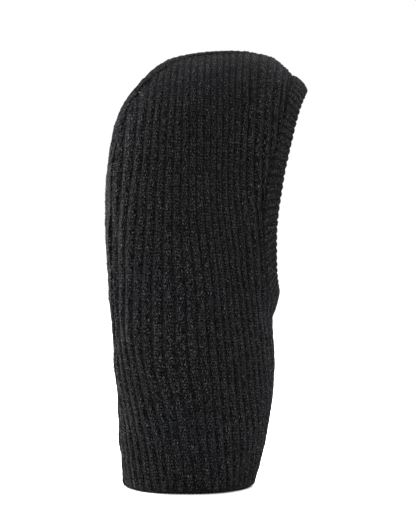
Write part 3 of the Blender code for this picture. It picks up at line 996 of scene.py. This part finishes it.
def finish_shader(tree, shader, colour, height, bump, settings):
    """Gives a shader its colour, a bump (strength and distance) from a height, and plain settings."""
    link(tree, colour, shader.inputs["Base Color"])
    for key, value in settings.items():
        shader.inputs[key].default_value = value
    relief = node(tree, "ShaderNodeBump")
    relief.inputs["Strength"].default_value = bump[0]
    relief.inputs["Distance"].default_value = bump[1]
    link(tree, height, relief.inputs["Height"])
    link(tree, relief.outputs[0], shader.inputs["Normal"])


def knit_material(name):
    """Charcoal marl wool: V stitches in two wales to a rib, each leg a strand of light and dark fibres,
    with painted shade in the rib grooves and at the legs' edges.
    """
    made, tree, shader = nodes_of(name)
    place = node(tree, "ShaderNodeTexCoord").outputs["Object"]
    rib = node(tree, "ShaderNodeAttribute", attribute_name="rib").outputs["Fac"]
    course = node(tree, "ShaderNodeAttribute", attribute_name="course").outputs["Fac"]
    fluff = noise(tree, place, FLUFF)
    sway = noise(tree, place, SWAY)
    lean = noise(tree, place, LEAN)

    # Where a point lies in the stitches: wale and course, both made uneven
    wale = math_node(tree, "MULTIPLY_ADD", rib, WALES_PER_RIB, WALE_START)
    wale = math_node(tree, "MULTIPLY_ADD", sway, WALE_SWAY, wale)
    course = math_node(tree, "MULTIPLY_ADD", lean, COURSE_LEAN, course)
    inside = math_node(tree, "PINGPONG", wale, 0.5)
    slant = math_node(tree, "MULTIPLY_ADD", inside, LEG_SLANT, course)
    twice = math_node(tree, "MULTIPLY", wale, 2.0)

    # A leg's strand is full in its middle and falls off towards its edges: the bump follows it, and so do
    # painted shade in the gaps at its edges and a painted lighter middle
    leg = math_node(tree, "PINGPONG", twice, 0.5)
    turn = math_node(tree, "PINGPONG", slant, 0.5)
    strand = math_node(tree, "MINIMUM", math_node(tree, "MULTIPLY", leg, STRAND_FULL), 1.0)
    strand = math_node(tree, "MINIMUM", math_node(tree, "MULTIPLY", turn, STRAND_FULL), strand)

    leg_number = math_node(tree, "FLOOR", twice)
    half_course = math_node(tree, "FLOOR", math_node(tree, "MULTIPLY", slant, 2.0))
    chance = node(tree, "ShaderNodeTexWhiteNoise", noise_dimensions="2D")
    link(tree, joined(tree, leg_number, half_course), chance.inputs["Vector"])
    across, down = (math_node(tree, "MULTIPLY", v, k) for v, k in zip((wale, slant), FIBRE_STRETCH))
    fibre = noise(tree, joined(tree, across, down), FIBRE)
    across, down = (math_node(tree, "MULTIPLY", v, k) for v, k in zip((twice, slant), TUFT_STRETCH))
    speck = node(tree, "ShaderNodeTexVoronoi", feature="F1", voronoi_dimensions="2D")
    link(tree, joined(tree, across, down), speck.inputs["Vector"])
    speck.inputs["Scale"].default_value = 1.0

    colour = ramp(tree, fibre, MARL)
    for factor, stops in (
        (chance.outputs["Value"], LEG_TONES),
        (speck.outputs["Distance"], SPECK_TONES),
        (fluff, TUFT_TONES),
        (strand, STRAND_SHADE_TONES),
        (noise(tree, place, PATCH), PATCH_TONES),
        (noise(tree, place, CAST), CAST_TONES),
    ):
        colour = toned(tree, colour, factor, stops)
    # Painted shade in the grooves between ribs, broken up by loose fibres and the stitches' turns
    groove = math_node(tree, "PINGPONG", rib, 0.5)
    ragged = math_node(tree, "MULTIPLY_ADD", fluff, GROOVE_FLUFF, -GROOVE_FLUFF / 2)
    groove = math_node(tree, "ADD", groove, ragged)
    groove = math_node(tree, "MULTIPLY_ADD", turn, GROOVE_TURN, groove)
    colour = toned(tree, colour, groove, GROOVE_SHADE_TONES)
    height = math_node(tree, "ADD", math_node(tree, "MULTIPLY", strand, STRAND_LIFT), fluff)
    height = math_node(tree, "MULTIPLY_ADD", fibre, FIBRE_LIFT, height)
    finish_shader(tree, shader, colour, height, KNIT_BUMP, KNIT_FINISH)
    return made


def yarn_material(name, dark, light, sheen):
    """Plain twisted yarn: fine fibres and small changes of tone."""
    made, tree, shader = nodes_of(name)
    place = node(tree, "ShaderNodeTexCoord").outputs["Object"]
    fibre = noise(tree, place, YARN_FIBRE)
    colour = ramp(tree, fibre, tuple(zip(YARN_STOPS, (dark, light))))
    finish_shader(tree, shader, colour, fibre, YARN_BUMP, YARN_FINISH | {"Sheen Weight": sheen})
    return made


def satin_material(name):
    """Off-white woven satin: fine warp lines, a faint cross weave and slightly soiled patches."""
    made, tree, shader = nodes_of(name)
    place = node(tree, "ShaderNodeTexCoord").outputs["UV"]
    stretch = node(tree, "ShaderNodeMapping")
    stretch.inputs["Scale"].default_value = WARP_STRETCH
    link(tree, place, stretch.inputs["Vector"])
    warp = noise(tree, stretch.outputs[0], WARP)
    weave = node(tree, "ShaderNodeTexWave", wave_type="BANDS", bands_direction="X")
    link(tree, place, weave.inputs["Vector"])
    weave.inputs["Scale"].default_value = WEAVE_SCALE
    colour = toned(tree, ramp(tree, warp, SATIN_TONES), noise(tree, place, SOIL), SOIL_TONES)
    height = math_node(tree, "ADD", warp, weave.outputs["Fac"])
    finish_shader(tree, shader, colour, height, SATIN_BUMP, SATIN_FINISH)
    return made


def place_piece(made, body, node_name, finish):
    """Gives a piece its material, rides it on its body and hides the CAD node it stands for, if any."""
    made.data.materials.append(finish)
    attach(made, body)
    if node_name:
        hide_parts(node_name)
    return made


# ------------------------ the pieces
knit = knit_material("charcoal_marl_knit")
yarn = yarn_material("seam_yarn", *SEAM_YARN)
shaded_edge_yarn = yarn_material("shaded_edge_yarn", *SHADED_EDGE_YARN)
thread = yarn_material("sewing_thread", *THREAD)
satin = satin_material("label_satin")

for side, name in ((-1, "right_panel"), (1, "left_panel")):
    outer, inner, number, course, cut = panel_layers(side)
    panel = shell(name + "_knit", outer, inner, number, course, flip=side > 0)
    place_piece(panel, "hood", name, knit)

band = place_piece(add_band(), "hood", "face_band", knit)
turn = np.linspace(0, 2 * math.pi, RING_POINTS + 1)
band_lines = [band_surface(turn, share)[0] for share in np.linspace(0, 1, BAND_CUT_LINES)]

back_line = seam_guides(np.linspace(*SEAM_TURNS, SEAM_POINTS), 0)
neck_top = FACE_LOW - SEAM_END_CLEARANCE - BAND_SEAM_RADIUS
neck_line = neck_guides(SEAM_END_CLEARANCE / 2, neck_top, NECK_POINTS)
turn = np.linspace(0, 2 * math.pi, RING_POINTS, endpoint=False)
face_line = oval_guides(turn, FACE_LOW, FACE_HIGH, FACE_HALF_WIDTH, FACE_GAP / 2)
back_links = seam_guides(np.linspace(*LINK_TURNS, SEAM_POINTS), 0)
neck_links = neck_guides(LINK_LOW, FACE_LOW - LINK_CLEARANCE, NECK_LINK_POINTS)
chain_depth = KNIT + RIDGE_GAP + SEAM_RADIUS
ring_depth = KNIT + RIDGE_GAP + BAND_SEAM_RADIUS

# Seams: piece, CAD node, guide line, depth inside the hood surface, stitch, strands, closed
for name, node_name, guides, depth, stitch, strands, closed in (
    ("crown_back_seam_chain", "crown_back_seam", back_line, chain_depth, SEAM_CHAIN, 3, False),
    ("front_neck_seam_chain", "front_neck_seam", neck_line, chain_depth, SEAM_CHAIN, 3, False),
    ("face_band_seam_chain", "face_band_seam", face_line, ring_depth, BAND_CHAIN, 3, True),
    ("face_band_pickup", None, face_line, PICKUP_DEPTH, PICKUP, 2, True),
    ("crown_back_seam_links", None, back_links, LINK_DEPTH, LINKS, 2, False),
    ("front_neck_seam_links", None, neck_links, LINK_DEPTH, LINKS, 2, False),
):
    line, normal = inside_line(guides, depth)
    seam = braid(name, line, normal, stitch, strands, closed)
    place_piece(seam, "hood", node_name, yarn)

# The hem's cast-on edge, in the darker yarn that paints shade where the hem meets the floor
turn = np.linspace(0, 2 * math.pi, HEM_POINTS, endpoint=False)
line, normal = inside_line(hem_guides(turn), HEM_DEPTH)
line[:, 2] = HEM_STRAND + HEM_TWIST
edge = braid("hem_cast_on", line, normal, CAST_ON, strands=2, closed=True)
place_piece(edge, "hood", None, shaded_edge_yarn)

chin = np.array([-math.pi / 2])
points = [band_surface(chin, share) for share in np.linspace(*JOIN_SHARES, JOIN_POINTS)]
line = np.array([(p - n * (BAND_THICKNESS + GAP + JOIN_RADIUS))[0] for p, n in points])
normal = np.array([n[0] for p, n in points])
seam = braid("band_join_chain", line, normal, JOIN_CHAIN)
place_piece(seam, "hood", "band_join", yarn)

label = place_piece(add_label(), "label", "care_label", satin)

low, high = label_edge()
up = (high - low) / np.linalg.norm(high - low)
behind = np.array([TACK_INSET, LABEL_THICKNESS + GAP + TACK_RADIUS, 0.0])
line = np.linspace(low + up * TACK_INSET, high - up * TACK_INSET, TACK_POINTS) + behind
tack = braid("label_tack_stitches", line, np.tile((0.0, 1.0, 0.0), (TACK_POINTS, 1)), TACK_STITCH)
place_piece(tack, "hood", "label_tack", thread)

# ------------------------ floor, light and camera
floor_mesh = bpy.data.meshes.new("floor")
half = FLOOR_HALF
corners = [(-half, -half, 0), (half, -half, 0), (half, half, 0), (-half, half, 0)]
floor_mesh.from_pydata(corners, [], [(0, 1, 2, 3)])
floor = add_object("floor", floor_mesh)
floor.location.z = FLOOR_Z
pale, _, shader = nodes_of("pale_floor")
shader.inputs["Base Color"].default_value = FLOOR_TONE
shader.inputs["Roughness"].default_value = FLOOR_ROUGHNESS
floor.data.materials.append(pale)

world = bpy.data.worlds.new("studio")
bpy.context.scene.world = world
world.use_nodes = True
world.node_tree.nodes["Background"].inputs[0].default_value = (1, 1, 1, 1)
world.node_tree.nodes["Background"].inputs[1].default_value = WORLD_STRENGTH

for name, where, at, (width, height), power in SOFTBOXES:
    data = bpy.data.lights.new(name, "AREA")
    data.shape = "RECTANGLE"
    data.size, data.size_y = width, height
    data.energy = power
    lamp = add_object(name, data)
    lamp.location = where
    lamp.rotation_euler = (Vector(at) - Vector(where)).to_track_quat("-Z", "Y").to_euler()
sun_data = bpy.data.lights.new("sky_fill", "SUN")
sun_data.energy = SKY_POWER
sun_data.angle = SKY_ANGLE
add_object("sky_fill", sun_data)

camera_data = bpy.data.cameras.new("camera")
camera_data.sensor_width = SENSOR
camera_data.lens = LENS
camera = add_object("camera", camera_data)
bpy.context.scene.camera = camera
target = Vector((AIM_SHIFT * math.cos(AZIMUTH), AIM_SHIFT * math.sin(AZIMUTH), AIM_Z))
away = Vector(
    (
        math.sin(AZIMUTH) * math.cos(ELEVATION),
        -math.cos(AZIMUTH) * math.cos(ELEVATION),
        math.sin(ELEVATION),
    )
)
camera.location = target + away * DISTANCE
camera.rotation_euler = (-away).to_track_quat("-Z", "Y").to_euler()
bpy.context.scene.view_settings.view_transform = "Standard"
